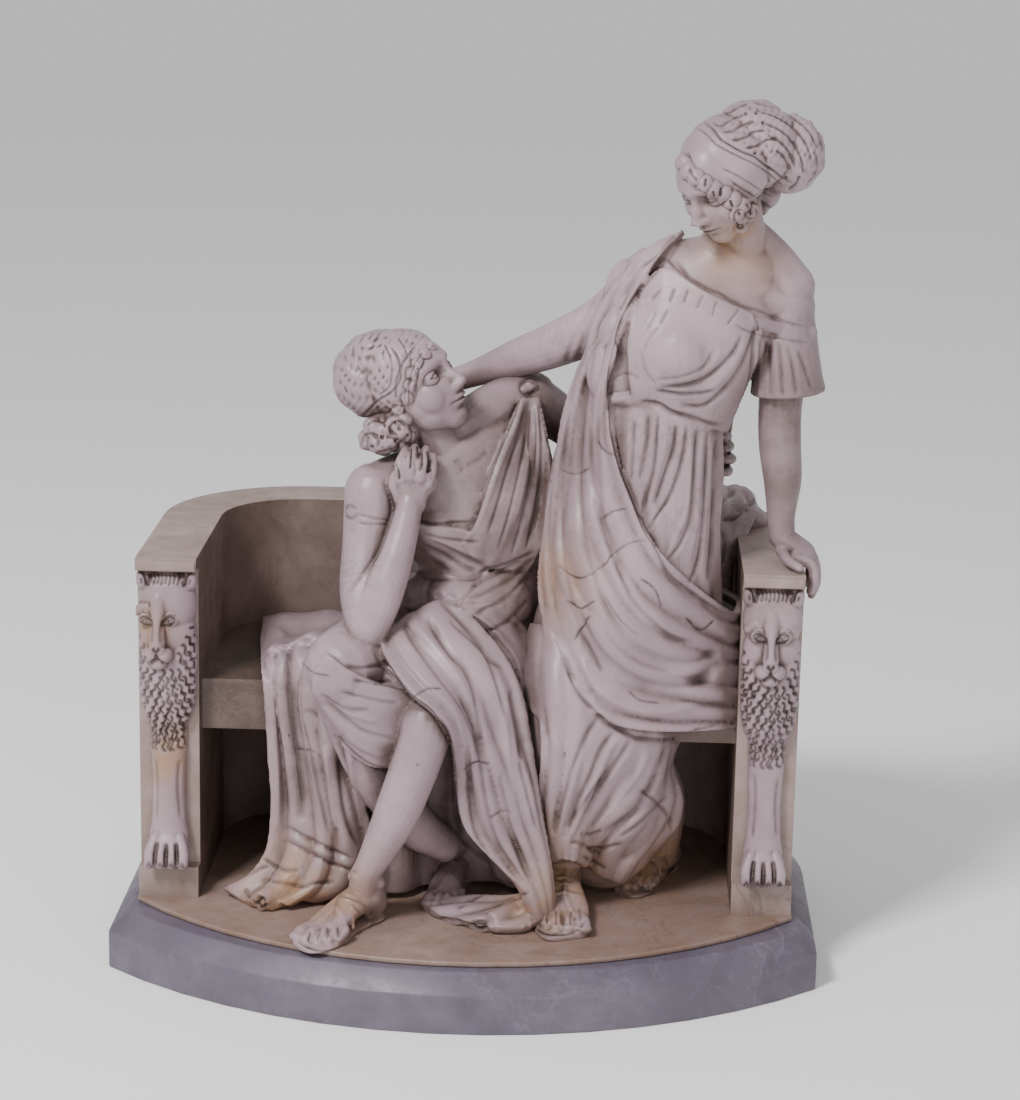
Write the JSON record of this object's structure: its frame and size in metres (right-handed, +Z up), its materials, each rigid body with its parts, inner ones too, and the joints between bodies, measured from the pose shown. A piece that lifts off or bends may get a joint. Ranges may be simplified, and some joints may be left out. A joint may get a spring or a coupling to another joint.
{
  "type": "figural marble sculpture",
  "caption": "Table-top marble group of draped women at a curved lion-fronted bench, on a chamfered grey marble plinth.",
  "frame": {"origin": "middle of the plinth's underside box, on the surface that it stands on", "axes": "+Z up through the women's heads, the group faces -Y, +X to the viewer's right"},
  "size_m": [0.528, 0.399, 0.6513],
  "materials": {
    "grey_marble": null,
    "cream_marble": null
  },
  "bodies": {
    "root": {"plinth": "grey_marble", "marble_group": "cream_marble"}
  },
  "joints": []
}
